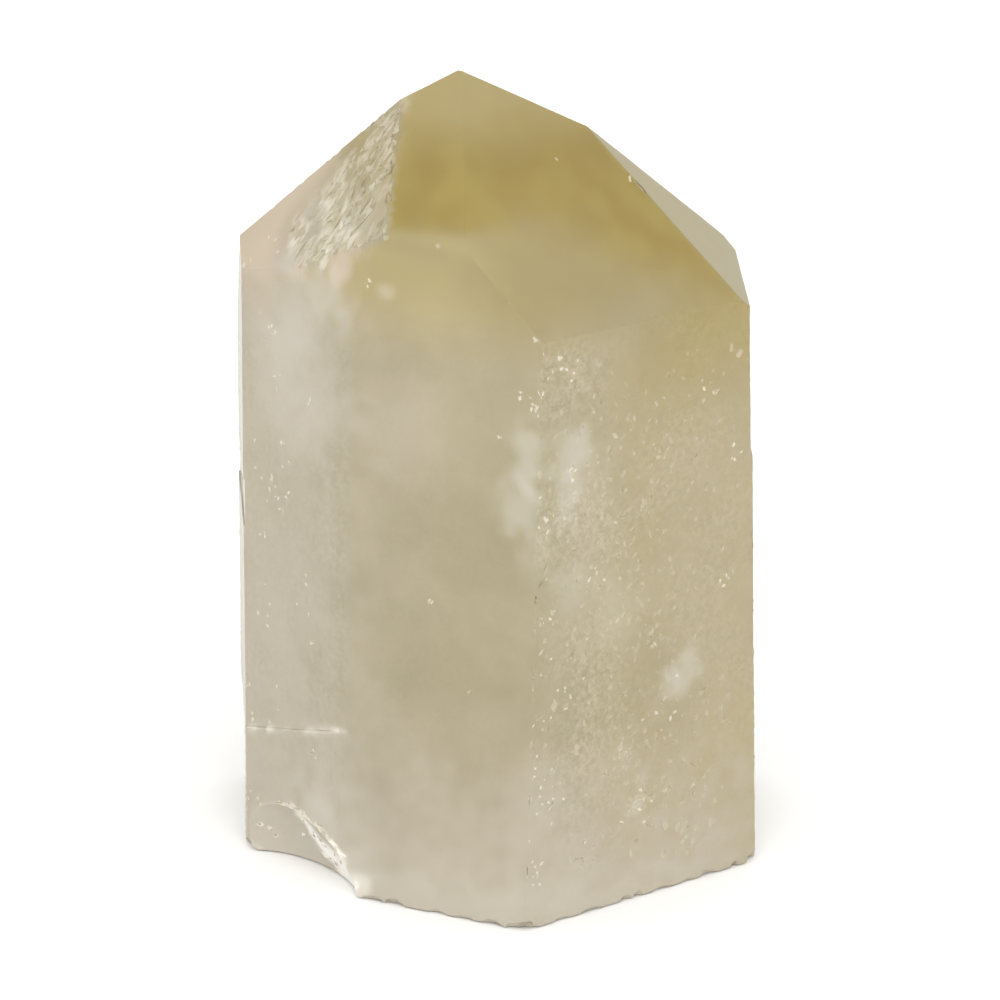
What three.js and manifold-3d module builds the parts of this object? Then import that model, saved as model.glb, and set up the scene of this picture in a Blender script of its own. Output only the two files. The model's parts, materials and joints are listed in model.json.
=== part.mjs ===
// A quartz point: one grown crystal, sawn off flat at its foot so that it stands by itself.
// Millimetres, +Z up. The front of the crystal looks towards -Y, and its foot lies on Z = 0.

import * as THREE from "three";
import { mergeVertices } from "three/addons/utils/BufferGeometryUtils.js";
import Module from "manifold-3d";

const wasm = await Module();
wasm.setup();

// ---------------------------------------------------------------- driving dimensions

// Each flat face is given by its bearing round the crystal (degrees, 0 at the front, + to the right),
// its lean above level (degrees) and its reach, the distance from the growth axis at the foot (mm).
// Six prism faces stand about 60 degrees apart. The front left one is bent by a seventh.
const PRISM = {
  left: { bearing: -86, lean: 0.4, reach: 27.4 },
  cheek: { bearing: -50, lean: 1.7, reach: 25.4 },
  front: { bearing: -25.5, lean: 1.7, reach: 24.7 },
  right: { bearing: 36, lean: 0, reach: 24.8 },
  farRight: { bearing: 92.5, lean: 1.3, reach: 26.7 },
  backRight: { bearing: 150, lean: 1, reach: 24.7 },
  backLeft: { bearing: -150, lean: 1, reach: 24.8 },
};
const TIP = {
  left: { bearing: -60, lean: 33.6, reach: 56.6 },
  front: { bearing: -22, lean: 46.8, reach: 68.2 },
  right: { bearing: 37, lean: 43.4, reach: 61.6 },
  farRight: { bearing: 92, lean: 43.7, reach: 61.3 },
  backRight: { bearing: 156, lean: 47.4, reach: 57.8 },
  backLeft: { bearing: -147, lean: 41.6, reach: 54.4 },
  shoulder: { bearing: 118, lean: 22, reach: 46.3 },
  step: { bearing: -45, lean: 6.9, reach: 30.6 },
};
const FOOT = { bearing: 0, lean: -90, reach: 0 };
const BLOCK = 200; // the rough block that the faces are cut from

// The spall at the foot of the cheek: a shell-shaped hollow that undercuts the rim.
const SPALL = { right: -2, height: 0.6, size: [20, 12.8, 5.4], lift: 2, roll: 16 };

// The crack across the cheek. The left face has come away along a second plane below it.
const CRACK = { from: 13.5, to: 18.1, width: 0.5, depth: 0.18 };
const LEFT_BREAK = { bearing: -92, lean: 0.4, reach: 27 };

// Growth ledges: bands where a prism face stopped growing a little earlier.
const LEDGES = [
  { face: "farRight", bottom: 46, top: 70, depth: 0.18 },
  { face: "backRight", bottom: 33, top: 39.5, depth: 0.35 },
  { face: "backRight", bottom: 50, top: 70, depth: 0.25 },
  { face: "backLeft", bottom: 9, top: 12, depth: 0.3 },
  { face: "backLeft", bottom: 21, top: 28.5, depth: 0.4 },
  { face: "backLeft", bottom: 41, top: 43.5, depth: 0.28 },
  { face: "backLeft", bottom: 52, top: 70, depth: 0.45 },
  { face: "left", bottom: 36, top: 41, depth: 0.15 },
];

// Broken rims and edges: [length, width, depth] of a typical chip, and how many there are.
const RIM_CHIPS = { size: [2.4, 1, 0.6], perSide: 8 };
const EDGE_CHIP = [1.5, 0.7, 0.45];
const CORNER_CHIP = [2.4, 2, 1.4];

// Etch pits: flakes on the left tip face, grains on the rough prism faces.
const FLAKES = { size: [2.7, 0.9, 0.3], count: 76, right: 3.2, low: 66.5, high: 82 };
const GRAINS = { size: [1.2, 0.7, 0.2], count: 50 };

// ---------------------------------------------------------------- planes, points and solids

const UP = new THREE.Vector3(0, 0, 1);
const radians = THREE.MathUtils.degToRad;

// Random numbers that come out the same in every run.
let seed = 20;
function random() {
  seed = (seed * 16807) % 2147483647;
  return seed / 2147483647;
}
const between = (low, high) => low + (high - low) * random();

function outward({ bearing, lean }) {
  const level = Math.cos(radians(lean));
  return new THREE.Vector3(
    Math.sin(radians(bearing)) * level,
    -Math.cos(radians(bearing)) * level,
    Math.sin(radians(lean)),
  );
}

// The point where three faces meet.
function corner(a, b, c) {
  const [na, nb, nc] = [a, b, c].map(outward);
  const bc = nb.clone().cross(nc);
  const volume = na.dot(bc);
  return bc.multiplyScalar(a.reach)
    .add(nc.clone().cross(na).multiplyScalar(b.reach))
    .add(na.clone().cross(nb).multiplyScalar(c.reach))
    .divideScalar(volume);
}

const level = (height) => ({ bearing: 0, lean: 90, reach: height });
const across = ({ bearing }) => new THREE.Vector3(Math.cos(radians(bearing)), Math.sin(radians(bearing)), 0);

// The point of a face at a height, so far to the right of its middle as it is seen from outside.
function onFace(face, right, height) {
  const normal = outward(face);
  const upslope = normal.clone().cross(across(face));
  const rise = (height - face.reach * normal.z) / upslope.z;
  return normal.multiplyScalar(face.reach)
    .addScaledVector(across(face), right)
    .addScaledVector(upslope, rise);
}

function solidOf(geometry) {
  geometry.deleteAttribute("normal");
  geometry.deleteAttribute("uv");
  const merged = mergeVertices(geometry, 1e-4);
  return new wasm.Manifold(new wasm.Mesh({
    numProp: 3,
    vertProperties: new Float32Array(merged.attributes.position.array),
    triVerts: new Uint32Array(merged.index.array),
  }));
}

// Everything that lies beyond a face, as a slab to take away.
function beyond(face) {
  const slab = new THREE.BoxGeometry(BLOCK, BLOCK, BLOCK);
  slab.translate(0, 0, BLOCK / 2 + face.reach);
  slab.applyQuaternion(new THREE.Quaternion().setFromUnitVectors(UP, outward(face)));
  return solidOf(slab);
}

// The shapes that hollows break out in, from a thin flake to a shell-shaped spall.
const flake = () => new THREE.OctahedronGeometry(1);
const chip = () => new THREE.IcosahedronGeometry(1);
const knock = () => new THREE.IcosahedronGeometry(1, 1);
const shell = () => new THREE.IcosahedronGeometry(1, 2);

// A hollow to take away: it is long in one direction, and as deep as it reaches into the crystal.
function hollow(shape, centre, [length, width, depth], along, out) {
  const side = out.clone().cross(along).normalize();
  const inPlane = side.clone().cross(out).normalize();
  const scale = new THREE.Matrix4().makeScale(length / 2, width / 2, depth);
  const turn = new THREE.Matrix4().makeBasis(inPlane, side, out);
  const spin = new THREE.Matrix4().makeRotationFromEuler(
    new THREE.Euler(between(0, 3), between(0, 3), between(0, 3)));
  shape.applyMatrix4(spin);
  shape.applyMatrix4(scale);
  shape.applyMatrix4(turn);
  shape.translate(centre.x, centre.y, centre.z);
  return solidOf(shape);
}

const varied = (size, spread = 0.45) => size.map((value) => value * between(1 - spread, 1 + spread));

// ---------------------------------------------------------------- the crystal and its faces

const rough = new THREE.BoxGeometry(BLOCK / 2, BLOCK / 2, BLOCK);
let crystal = solidOf(rough);
for (const face of [FOOT, ...Object.values(PRISM), ...Object.values(TIP)]) {
  crystal = crystal.subtract(beyond(face));
}

// ---------------------------------------------------------------- spall, crack and ledges

function takeSpall() {
  const out = outward(PRISM.cheek);
  const along = across(PRISM.cheek).applyAxisAngle(out, -radians(SPALL.roll));
  const centre = onFace(PRISM.cheek, SPALL.right, SPALL.height).addScaledVector(out, SPALL.lift);
  return hollow(shell(), centre, SPALL.size, along, out);
}

function takeCrack() {
  const start = corner(PRISM.left, PRISM.cheek, level(CRACK.from));
  const end = corner(PRISM.cheek, PRISM.front, level(CRACK.to));
  const along = end.clone().sub(start);
  const groove = new THREE.BoxGeometry(along.length(), CRACK.width, CRACK.width);
  groove.rotateX(Math.PI / 4);
  const out = outward(PRISM.cheek);
  const inPlane = along.clone().normalize();
  const side = out.clone().cross(inPlane);
  groove.applyMatrix4(new THREE.Matrix4().makeBasis(inPlane, side, out));
  const lift = CRACK.width * Math.SQRT1_2 - CRACK.depth;
  const middle = start.lerp(end, 0.5).addScaledVector(out, lift);
  groove.translate(middle.x, middle.y, middle.z);
  return solidOf(groove);
}

// What lies beyond a face between two heights.
function band(face, bottom, top) {
  const layer = new THREE.BoxGeometry(BLOCK, BLOCK, top - bottom);
  layer.translate(0, 0, (top + bottom) / 2);
  return beyond(face).intersect(solidOf(layer));
}

for (const ledge of LEDGES) {
  const face = PRISM[ledge.face];
  crystal = crystal.subtract(band({ ...face, reach: face.reach - ledge.depth }, ledge.bottom, ledge.top));
}
crystal = crystal.subtract(band(LEFT_BREAK, -1, CRACK.from)).subtract(takeCrack()).subtract(takeSpall());

// ---------------------------------------------------------------- chips along the rim and the edges

const around = Object.values(PRISM);
around.forEach((face, i) => {
  const next = around[(i + 1) % around.length];
  const previous = around[(i + around.length - 1) % around.length];
  const start = corner(previous, face, FOOT);
  const end = corner(face, next, FOOT);
  const along = end.clone().sub(start).normalize();
  const out = outward(face).sub(UP).normalize();
  const chips = Math.ceil(RIM_CHIPS.perSide * start.distanceTo(end) / 27);
  for (let k = 0; k < chips; k += 1) {
    const at = start.clone().lerp(end, (k + between(0.1, 0.9)) / chips);
    crystal = crystal.subtract(hollow(chip(), at, varied(RIM_CHIPS.size), along, out));
  }
  const cornerOut = outward(face).add(outward(next)).sub(UP).normalize();
  crystal = crystal.subtract(hollow(knock(), end, varied(CORNER_CHIP, 0.2), along, cornerOut));
});

// Small chips along the edge of two faces, between two heights.
function chipEdge(a, b, low, high, count, size = EDGE_CHIP) {
  const out = outward(a).add(outward(b)).normalize();
  const along = outward(a).cross(outward(b)).normalize();
  for (let k = 0; k < count; k += 1) {
    const at = corner(a, b, level(low + ((k + between(0, 1)) * (high - low)) / count));
    crystal = crystal.subtract(hollow(chip(), at, varied(size), along, out));
  }
}

chipEdge(PRISM.front, PRISM.right, 4, 62, 9, [1.1, 0.5, 0.3]);
chipEdge(PRISM.right, PRISM.farRight, 4, 60, 12, [1.2, 0.4, 0.25]);
chipEdge(PRISM.farRight, PRISM.backRight, 4, 58, 14);
chipEdge(PRISM.backRight, PRISM.backLeft, 4, 55, 16);
chipEdge(PRISM.backLeft, PRISM.left, 4, 60, 10, [1.2, 0.4, 0.25]);
chipEdge(TIP.left, TIP.front, 70, 82, 9);
chipEdge(TIP.right, TIP.farRight, 73.5, 74.5, 1, [1.6, 0.9, 0.6]);
chipEdge(TIP.front, PRISM.front, 71.5, 72.2, 1, [1.1, 0.8, 0.5]);
chipEdge(TIP.left, TIP.backLeft, 68, 81, 6, [1, 0.4, 0.22]);
chipEdge(TIP.backRight, TIP.backLeft, 58, 82, 9);

// ---------------------------------------------------------------- etch pits

// Flakes lie in a band down the middle of the left tip face, along the band.
const flakeRun = onFace(TIP.left, FLAKES.right, FLAKES.high).sub(onFace(TIP.left, 0, FLAKES.low));
for (let k = 0; k < FLAKES.count; k += 1) {
  const height = between(FLAKES.low, FLAKES.high);
  const spread = Math.min(FLAKES.high + 1.5 - height, 8) * (between(-0.6, 0.6) + between(-0.4, 0.4));
  const at = onFace(TIP.left, FLAKES.right + spread, height);
  crystal = crystal.subtract(hollow(flake(), at, varied(FLAKES.size), flakeRun, outward(TIP.left)));
}

function grainFace(face, halfWidth, low, high, count) {
  for (let k = 0; k < count; k += 1) {
    const at = onFace(face, between(-halfWidth, halfWidth), between(low, high));
    const along = across(face).applyAxisAngle(outward(face), between(0.6, 1.8));
    crystal = crystal.subtract(hollow(flake(), at, varied(GRAINS.size), along, outward(face)));
  }
}

grainFace(PRISM.right, 13.5, 3, 60, GRAINS.count);
grainFace(PRISM.backRight, 12, 3, 52, Math.round(GRAINS.count / 2));

// ---------------------------------------------------------------- the finished piece

function geometryOf(solid) {
  const mesh = solid.getMesh();
  const geometry = new THREE.BufferGeometry();
  geometry.setAttribute("position", new THREE.BufferAttribute(mesh.vertProperties, 3));
  geometry.setIndex(new THREE.BufferAttribute(mesh.triVerts, 1));
  return geometry;
}

const geometry = geometryOf(crystal);
geometry.computeBoundingBox();
const middle = geometry.boundingBox.getCenter(new THREE.Vector3());
geometry.translate(-middle.x, -middle.y, 0);
geometry.computeVertexNormals();

const quartz = new THREE.MeshStandardMaterial({
  color: 0xbcb28c,
  roughness: 0.18,
  metalness: 0,
  flatShading: true,
});
const point = new THREE.Mesh(geometry, quartz);
point.name = "quartz_point";

const group = new THREE.Group();
group.add(point);

export default group;
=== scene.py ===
import json
import math
import random

import bmesh
import bpy
import numpy as np
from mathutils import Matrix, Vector, noise
from mathutils.geometry import delaunay_2d_cdt
from mathutils.kdtree import KDTree

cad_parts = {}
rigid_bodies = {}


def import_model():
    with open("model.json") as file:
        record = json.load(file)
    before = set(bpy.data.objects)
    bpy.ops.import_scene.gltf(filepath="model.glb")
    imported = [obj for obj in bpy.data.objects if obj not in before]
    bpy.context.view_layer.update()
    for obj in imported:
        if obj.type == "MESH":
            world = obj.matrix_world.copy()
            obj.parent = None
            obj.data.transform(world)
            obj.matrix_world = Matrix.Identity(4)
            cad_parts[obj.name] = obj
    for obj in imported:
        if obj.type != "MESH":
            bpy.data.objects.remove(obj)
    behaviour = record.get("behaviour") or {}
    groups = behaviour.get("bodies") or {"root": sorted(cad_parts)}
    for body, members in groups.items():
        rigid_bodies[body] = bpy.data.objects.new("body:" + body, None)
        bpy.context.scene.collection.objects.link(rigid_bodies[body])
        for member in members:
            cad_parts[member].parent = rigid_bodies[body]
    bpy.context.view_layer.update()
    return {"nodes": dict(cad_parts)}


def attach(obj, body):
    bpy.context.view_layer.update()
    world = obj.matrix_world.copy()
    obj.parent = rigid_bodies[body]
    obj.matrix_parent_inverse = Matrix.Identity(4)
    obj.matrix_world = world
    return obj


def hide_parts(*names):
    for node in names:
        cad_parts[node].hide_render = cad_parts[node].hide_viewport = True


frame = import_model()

# ---------------------------------------------------------------- the quartz crystal: its faces
# One grown crystal of milky quartz with a golden tip. Its flat faces grew, and acid in the rock etched some
# of them. It was knocked about on the way to the bench, and sawn flat at the foot so that it stands.

MM = 0.001  # the mesh is worked on in millimetres and put back in metres

# Each flat face by its bearing round the crystal (0 at the front, + to the right) and its lean above level.
FACES = {
    "left": (-86, 0.4),
    "cheek": (-50, 1.7),
    "front": (-25.5, 1.7),
    "right": (36, 0),
    "far right": (92.5, 1.3),
    "back right": (150, 1),
    "back left": (-150, 1),
    "tip left": (-60, 33.6),
    "tip front": (-22, 46.8),
    "tip right": (37, 43.4),
    "tip far right": (92, 43.7),
    "tip back right": (156, 47.4),
    "tip back left": (-147, 41.6),
    "shoulder": (118, 22),
    "step": (-45, 6.9),
    "foot": (0, -90),
}
GROWTH_AXIS = np.array([0.6, 0, 0])  # where the axis of growth meets the foot


def outward(bearing, lean):
    """The direction that a face looks in."""
    turn = math.radians(bearing)
    rise = math.radians(lean)
    level = math.cos(rise)
    return np.array([math.sin(turn) * level, -math.cos(turn) * level, math.sin(rise)])


def across(face):
    """The level direction that runs to the right along a face."""
    turn = math.radians(FACES[face][0])
    return np.array([math.cos(turn), math.sin(turn), 0])


crystal_node = frame["nodes"]["quartz_point"]
cad_points = np.array([v.co for v in crystal_node.data.vertices], dtype=float) / MM
out_of = {face: outward(*angles) for face, angles in FACES.items()}
reach_of = {face: float((cad_points @ out).max()) for face, out in out_of.items()}


def on_face(face, right, height):
    """The point of a face at a height, so far to the right of its middle as it is seen from outside."""
    out = out_of[face]
    upslope = np.cross(out, across(face))
    foot_point = out * (reach_of[face] - out @ GROWTH_AXIS)
    rise = (height - foot_point[2]) / upslope[2]
    return GROWTH_AXIS + foot_point + across(face) * right + upslope * rise


# ---------------------------------------------------------------- the quartz crystal: its small hollows
# Flakes lie thick in a band down the left face of the tip, and grains pepper the two etched prism faces.
# Each is a sharp-sided pit, cut as a solid of eight facets, so that its sides catch the light as real
# ones do.

rng = random.Random(7)
hollows = []  # (centre, reach, corners, kind) of each


def varied(size, spread=0.5):
    return [value * rng.uniform(1 - spread, 1 + spread) for value in size]


def mark_hollow(kind, centre, out, along, size):
    """Marks one hollow: where it lies, which way it opens, the way of its long side, and its size."""
    side = np.cross(out, along)
    length, width, depth = size
    skew = along * length * rng.uniform(-0.25, 0.25) + side * width * rng.uniform(-0.25, 0.25)
    corners = [
        centre + along * length / 2,
        centre + side * width / 2 + along * length * rng.uniform(-0.2, 0.2),
        centre - along * length / 2,
        centre - side * width / 2 + along * length * rng.uniform(-0.2, 0.2),
        centre + out * depth,
        centre - out * depth + skew,
    ]
    hollows.append((centre, max(length, width, 2 * depth) / 2, corners, kind))


def sink_hollow(kind, face, right, height, size, turn):
    """Marks one hollow on a face, with its long side so many degrees anticlockwise from level."""
    out = out_of[face]
    upslope = np.cross(out, across(face))
    swing = math.radians(turn)
    along = across(face) * math.cos(swing) + upslope * math.sin(swing)
    mark_hollow(kind, on_face(face, right, height), out, along, size)


# The flakes on the left face of the tip. They lie along their band, nearly straight up the face.
FLAKE = (1.7, 0.6, 0.2)  # the length, width and depth of a typical one
FLAKES = 130
FLAKE_HEIGHTS = (66.6, 82)
FLAKE_TURN = 80          # degrees from level
FLAKE_SWAY = 24          # and how far one may lie from that
FLAKE_BAND = [           # height, left edge, right edge
    (66.4, -2.2, 10.0),
    (68.0, -4.1, 10.4),
    (70.5, -4.8, 10.2),
    (74.0, -3.3, 7.6),
    (78.0, -1.6, 6.9),
    (82.0, -0.2, 4.2),
]


def band_edges(height):
    """Where the left and right edges of the band of flakes lie at a height."""
    heights, left, right = zip(*FLAKE_BAND)
    return np.interp(height, heights, left), np.interp(height, heights, right)


flake_swing = math.radians(FLAKE_TURN)
flake_upslope = np.cross(out_of["tip left"], across("tip left"))
flake_along = across("tip left") * math.cos(flake_swing) + flake_upslope * math.sin(flake_swing)
flake_side = np.cross(out_of["tip left"], flake_along)
for _ in range(FLAKES):
    height = rng.uniform(*FLAKE_HEIGHTS)
    left, right = band_edges(height)
    middle = (left + right) / 2
    place = middle + (right - left) / 2 * (rng.uniform(-0.7, 0.7) + rng.uniform(-0.4, 0.4))
    size = varied(FLAKE)
    turn = FLAKE_TURN + rng.uniform(-FLAKE_SWAY, FLAKE_SWAY)
    sink_hollow("flake", "tip left", place, height, size, turn)

# Grains lie everywhere on the right face, thickest a little above its middle, and thinner on the back right.
GRAIN = (0.75, 0.4, 0.1)
GRAINS = 520
GRAIN_HEIGHTS = (2, 62, 46)       # the lowest, the highest, and where they are thickest
GRAIN_PLACES = (-14.5, 13.5, -6)  # the same from left to right
BACK_GRAINS = 170
BACK_GRAIN_HEIGHTS = (3, 50)
BACK_GRAIN_PLACES = (-12, 12)
STEEP = (30, 150)                 # degrees from level: none of the pits on the etched faces lies level
for _ in range(GRAINS):
    height = rng.triangular(*GRAIN_HEIGHTS)
    place = rng.triangular(*GRAIN_PLACES)
    sink_hollow("grain", "right", place, height, varied(GRAIN), rng.uniform(*STEEP))
for _ in range(BACK_GRAINS):
    place = rng.uniform(*BACK_GRAIN_PLACES)
    height = rng.uniform(*BACK_GRAIN_HEIGHTS)
    sink_hollow("grain", "back right", place, height, varied(GRAIN), rng.uniform(*STEEP))

# Nicks where the crystal was knocked, alone or in groups, pale broken quartz whose near white is also painted
# glints: face, right, height, how many, spread.
NICK = (0.56, 0.33, 0.17)
ANY_WAY = (20, 160)               # degrees from level
NICKS = [
    ("front", 3.6, 33.9, 2, 0.4),
    ("front", 15.0, 57.0, 9, 1.1),
    ("right", -13.6, 58.6, 4, 1.2),
    ("right", -12.2, 44.4, 9, 1.3),
    ("right", -8.6, 49.6, 4, 0.9),
    ("right", -6.2, 37.2, 4, 1.2),
    ("right", -12.7, 14.5, 9, 2.4),
    ("right", -13.6, 6.2, 5, 1.6),
    ("right", 0.2, 11.0, 7, 2.2),
    ("right", 12.2, 46.6, 4, 0.9),
    ("right", -9.5, 60.2, 8, 2.0),
    ("right", 4.0, 19.0, 6, 2.4),
    ("right", 8.5, 54.5, 3, 1.2),
    ("right", 10.4, 34.0, 4, 2.4),
    ("right", -8.8, 24.5, 6, 2.2),
    ("front", 7.9, 25.2, 1, 0),
    ("front", 11.5, 68.0, 3, 0.5),
    ("front", 12.9, 66.5, 2, 0.5),
    ("front", 15.2, 63.9, 3, 0.5),
    ("right", -12.6, 62.3, 2, 0.4),
    ("front", 13.2, 58.1, 2, 0.5),
    ("front", 10.7, 52.9, 2, 0.5),
    ("cheek", -6.1, 39.4, 3, 1.0),
    ("cheek", -7.5, 41.7, 2, 0.8),
    ("cheek", -2.3, 33.3, 2, 0.6),
    ("cheek", -8.9, 30.6, 1, 0),
    ("cheek", -9.4, 5.7, 3, 0.6),
    ("cheek", -11.1, 6.2, 2, 0.5),
    ("cheek", -1.8, 52.7, 2, 0.5),
    ("cheek", -7.6, 58.4, 2, 0.5),
    ("cheek", -6.3, 46.7, 2, 0.4),
    ("cheek", -8.1, 42.9, 3, 0.7),
    ("cheek", -9.4, 35.8, 3, 0.6),
    ("cheek", -1.6, 29.5, 1, 0),
    ("cheek", -1.0, 26.6, 2, 0.4),
    ("cheek", -6.8, 19.9, 1, 0),
    ("cheek", -8.5, 56.0, 9, 5.0),
    ("cheek", -9.0, 44.0, 10, 5.5),
    ("cheek", -8.0, 29.0, 5, 5.0),
    ("cheek", -8.3, 15.7, 3, 0.9),
    ("cheek", -0.5, 14.2, 3, 0.8),
    ("cheek", -10.8, 15.2, 2, 0.6),
    ("cheek", -9.0, 17.0, 4, 3.0),
    ("tip left", -8.0, 66.0, 8, 3.5),
    ("front", -4.0, 67.2, 3, 0.6),
    ("tip front", 7.2, 73.0, 2, 0.4),
    ("tip right", 6.1, 74.6, 3, 0.6),
    ("tip right", -1.6, 76.4, 1, 1.6),
]
for face, right, height, count, spread in NICKS:
    for _ in range(count):
        place = right + rng.gauss(0, 0.5) * spread
        at_height = height + rng.gauss(0, 0.6) * spread
        sink_hollow("nick", face, place, at_height, varied(NICK, 0.4), rng.uniform(*ANY_WAY))

# Low on the right face the etching bit deeper, in coarse crumbs that lie in patches: right, height, how
# many, spread.
COARSE = (0.95, 0.62, 0.16)
COARSE_WITHIN = (-13.0, 14.0)
COARSE_LOWEST = 1.5
COARSE_PATCHES = [
    (-1.0, 17.0, 22, 2.8),
    (-0.5, 11.0, 14, 1.8),
    (6.0, 9.5, 30, 4.6),
    (8.0, 19.0, 16, 3.6),
    (-6.0, 8.0, 8, 2.8),
    (0.5, 27.0, 10, 3.4),
]
for right, height, count, spread in COARSE_PATCHES:
    for _ in range(count):
        place = float(np.clip(right + rng.gauss(0, 0.6) * spread, *COARSE_WITHIN))
        at_height = max(COARSE_LOWEST, height + rng.gauss(0, 0.6) * spread)
        sink_hollow("coarse", "right", place, at_height, varied(COARSE), rng.uniform(*STEEP))

# The upright edge between the front and right faces is bruised all the way up. The near white of these nicks
# is also painted glints.
EDGE_BRUISE = (0.4, 0.26, 0.14)
EDGE_BRUISES = 50
EDGE_BRUISE_PLACES = (-14.7, -10.5, -14.4)
EDGE_BRUISE_HEIGHTS = (3, 60)
for _ in range(EDGE_BRUISES):
    place = rng.triangular(*EDGE_BRUISE_PLACES)
    height = rng.uniform(*EDGE_BRUISE_HEIGHTS)
    sink_hollow("nick", "right", place, height, varied(EDGE_BRUISE), rng.uniform(*ANY_WAY))

# The blow that spalled the foot of the cheek left a chain of chips along the upper rim of the shell.
SPALL_AXES = np.array([10, 6.4, 5.4])  # half sizes of the shell
SPALL_LIFT = 2                         # how far out of the cheek its centre lies
SPALL_ROLL = -16                       # how far its long side turns from level
SPALL_PLACE = (-2, 0.6)                # right and height
SPALL_CHIP = (1.7, 0.9, 0.42)
SPALL_CHIPS = 34
FIRST_CHIP = 14                        # degrees round the rim
CHIP_STEP = 3.5                        # and from one chip to the next
CHIP_SHRINK = (1.4, 0.026)             # the size of the first, and how much smaller each next one is
LOWEST_CHIP = 0.5                      # mm above the foot
spall_swing = math.radians(SPALL_ROLL)
spall_upslope = np.cross(out_of["cheek"], across("cheek"))
spall_along = across("cheek") * math.cos(spall_swing) + spall_upslope * math.sin(spall_swing)
spall_side = np.cross(out_of["cheek"], spall_along)
spall_frame = np.array([spall_along, spall_side, out_of["cheek"]])
spall_centre = on_face("cheek", *SPALL_PLACE) + out_of["cheek"] * SPALL_LIFT
rim_share = math.sqrt(1 - (SPALL_LIFT / SPALL_AXES[2]) ** 2)
for step in range(SPALL_CHIPS):
    turn = math.radians(FIRST_CHIP + CHIP_STEP * step + rng.uniform(-2, 2))
    reach_out = rim_share * (1.02 + abs(rng.gauss(0, 0.05)))
    on_rim = spall_along * SPALL_AXES[0] * math.cos(turn) + spall_side * SPALL_AXES[1] * math.sin(turn)
    chip_at = on_face("cheek", *SPALL_PLACE) + on_rim * reach_out
    size = [value * (CHIP_SHRINK[0] - CHIP_SHRINK[1] * step) for value in varied(SPALL_CHIP, 0.6)]
    lean = math.degrees(math.atan2(SPALL_AXES[1] * math.cos(turn), -SPALL_AXES[0] * math.sin(turn)))
    place = float((chip_at - GROWTH_AXIS) @ across("cheek"))
    if chip_at[2] > LOWEST_CHIP:
        lean = lean + SPALL_ROLL + rng.uniform(-15, 15)
        sink_hollow("nick", "cheek", place, float(chip_at[2]), size, lean)

# A white bruise runs down through the shell, where the stone crushed before it split. Splinters left it
# rough.
BRUISE_RUN = np.array([
    (-0.37, 0.62), (-0.33, 0.51), (-0.26, 0.37), (-0.16, 0.26), (-0.03, 0.21), (0.12, 0.17), (0.29, 0.17),
    (0.49, 0.23), (0.75, 0.45),
])  # along and across the shell, in shares of its half sizes
SPLINTER = (1.3, 0.6, 0.13)
SPLINTERS = 44
LOWEST_SPLINTER = 0.4
LONE_SPLINTERS = [(-0.74, -0.07), (-0.7, -0.11), (-0.42, 0.2), (-0.86, -0.02)]
spots = []
for _ in range(SPLINTERS):
    step, share = divmod(rng.uniform(0, len(BRUISE_RUN) - 1.4), 1)
    spot = BRUISE_RUN[int(step)] * (1 - share) + BRUISE_RUN[int(step) + 1] * share
    spots.append(spot + np.array([rng.gauss(0, 0.05), rng.gauss(0, 0.08)]))
for spot in spots + [np.array(lone) for lone in LONE_SPLINTERS]:
    local = np.array([*spot, -math.sqrt(max(0.1, 1 - spot @ spot))])
    out = -(local / SPALL_AXES) @ spall_frame
    out /= np.linalg.norm(out)
    along = spall_along - out * float(spall_along @ out)
    along = along / np.linalg.norm(along) + np.cross(out, spall_along) * rng.uniform(-0.8, 0.4)
    splinter_at = spall_centre + (local * SPALL_AXES) @ spall_frame
    if splinter_at[2] > LOWEST_SPLINTER:
        mark_hollow("splinter", splinter_at, out, along / np.linalg.norm(along), varied(SPLINTER, 0.6))


def solid_object(name, points, triangles):
    """An object of a closed mesh, to cut with."""
    mesh = bpy.data.meshes.new(name)
    mesh.from_pydata([tuple(p) for p in points], [], triangles)
    mesh.validate()
    made = bpy.data.objects.new(name, mesh)
    bpy.context.scene.collection.objects.link(made)
    return made


# The hollows are shared out in lots, none of which has two that touch, and one lot is cut after another.
OCTAHEDRON = [(0, 1, 4), (1, 2, 4), (2, 3, 4), (3, 0, 4), (1, 0, 5), (2, 1, 5), (3, 2, 5), (0, 3, 5)]
lots = []
for hollow in hollows:
    centre, reach = hollow[:2]
    for lot in lots:
        if all(np.linalg.norm(centre - other[0]) > reach + other[1] for other in lot):
            lot.append(hollow)
            break
    else:
        lots.append([hollow])

work_mesh = crystal_node.data.copy()
work = bpy.data.objects.new("crystal in work", work_mesh)
bpy.context.scene.collection.objects.link(work)
WELD = 0.0002  # mm: points closer than this are one
weld = work.modifiers.new("weld", "WELD")
weld.merge_threshold = WELD * MM
for lot in lots:
    points = []
    triangles = []
    for _, _, corners, _ in lot:
        first = len(points)
        points += [corner * MM for corner in corners]
        triangles += [tuple(first + i for i in triangle) for triangle in OCTAHEDRON]
    cutter = solid_object("cutter", points, triangles)
    cut = work.modifiers.new("cut", "BOOLEAN")
    cut.operation = "DIFFERENCE"
    cut.solver = "MANIFOLD"
    cut.object = cutter
bpy.context.view_layer.update()
evaluated = work.evaluated_get(bpy.context.evaluated_depsgraph_get())
cut_mesh = bpy.data.meshes.new_from_object(evaluated)
cut_mesh.calc_loop_triangles()
corners = np.array([v.co for v in cut_mesh.vertices], dtype=float) / MM
triangles = np.array([t.vertices for t in cut_mesh.loop_triangles], dtype=int)
for leftover in [o for o in bpy.data.objects if o.name.startswith(("cutter", "crystal in work"))]:
    bpy.data.objects.remove(leftover)

# ---------------------------------------------------------------- the quartz crystal: its fine surface
# Every flat area is laid out again in small triangles, so that its relief is real. The areas that touch share
# the points of their border, so that the skin stays closed.

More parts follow.
